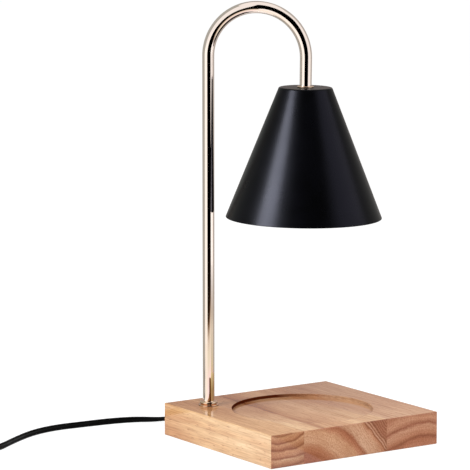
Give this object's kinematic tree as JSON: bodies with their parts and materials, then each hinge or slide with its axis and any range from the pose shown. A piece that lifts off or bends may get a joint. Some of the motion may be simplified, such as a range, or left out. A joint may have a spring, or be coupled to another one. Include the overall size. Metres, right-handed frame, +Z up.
{
  "type": "candle warmer lamp",
  "caption": "Tabletop lamp that melts a jar candle from above: wood board with a round jar recess, bent tube stem, black cone shade, twist-lock reflector lamp, in-line dimmer and plug.",
  "frame": {"origin": "centre of the board's footprint on the surface that the rubber feet stand on, measured without the cord and what is on it", "axes": "+Z up along the stem, +Y towards the rear edge that the cord leaves, +X to the right when the cord is at the back"},
  "size_m": [0.4351, 0.225, 0.3496],
  "materials": {
    "lacquered_wood": "clear satin lacquer over edge-glued staves",
    "champagne_plate": "polished champagne-gold plate on steel tube",
    "black_paint": "satin black powder coat",
    "zinc_steel": "zinc-plated steel",
    "foot_rubber": "moulded rubber",
    "black_vinyl": "extruded soft PVC",
    "black_abs": "spark-textured moulded plastic",
    "lead_insulation": "silicone-insulated lead",
    "lampholder_ceramic": "pressed steatite",
    "contact_brass": "stamped brass",
    "lamp_glass": "pressed clear glass",
    "reflector_glass": "pressed glass with a mirror coat",
    "circuit_board": "glass-fibre circuit board",
    "control_body": "moulded control and triac bodies"
  },
  "bodies": {
    "stand": {"base_block": "lacquered_wood", "bottom_plate": "zinc_steel", "plate_screws": "zinc_steel", "rubber_feet": "foot_rubber", "stem_tube": "champagne_plate", "foot_collar": "champagne_plate", "shade_cap": "champagne_plate", "stem_washer": "zinc_steel", "stem_lock_washer": "zinc_steel", "stem_nut": "zinc_steel", "cord_strain_relief": "black_vinyl", "lead_line": "lead_insulation", "lead_neutral": "lead_insulation", "shade": "black_paint", "shade_washer": "zinc_steel", "shade_nut": "zinc_steel", "lampholder_bracket": "zinc_steel", "lampholder": "lampholder_ceramic", "holder_contacts": "contact_brass", "holder_screws": "zinc_steel", "power_cord_near": "black_vinyl", "power_cord_far": "black_vinyl", "power_cord_tail": "black_vinyl", "cord_coil": "black_vinyl", "dimmer_lower_shell": "black_abs", "dimmer_upper_shell": "black_abs", "dimmer_screws": "zinc_steel", "dimmer_board": "circuit_board", "dimmer_triac": "control_body", "dimmer_control": "control_body", "plug_body": "black_vinyl", "plug_blades": "contact_brass"},
    "bulb": {"bulb_pins": "contact_brass", "bulb_base": "lampholder_ceramic", "bulb_reflector": "reflector_glass", "bulb_lens": "lamp_glass", "bulb_capsule": "lamp_glass"},
    "dimmer_wheel": {"dimmer_wheel": "black_abs", "dimmer_shaft": "zinc_steel"}
  },
  "joints": [
    {"name": "bulb_twist", "type": "hinge", "parent": "stand", "child": "bulb", "pos_m": [-0.00139, -0.00761, 0.2518], "axis": [0.0074, -0.0074, 0.9999], "range_deg": [-30, 0]},
    {"name": "dimmer_wheel_turn", "type": "hinge", "parent": "stand", "child": "dimmer_wheel", "pos_m": [-0.276, 0.054, 0.011], "axis": [0.6157, -0.788, 0], "range_deg": [0, 300]}
  ]
}
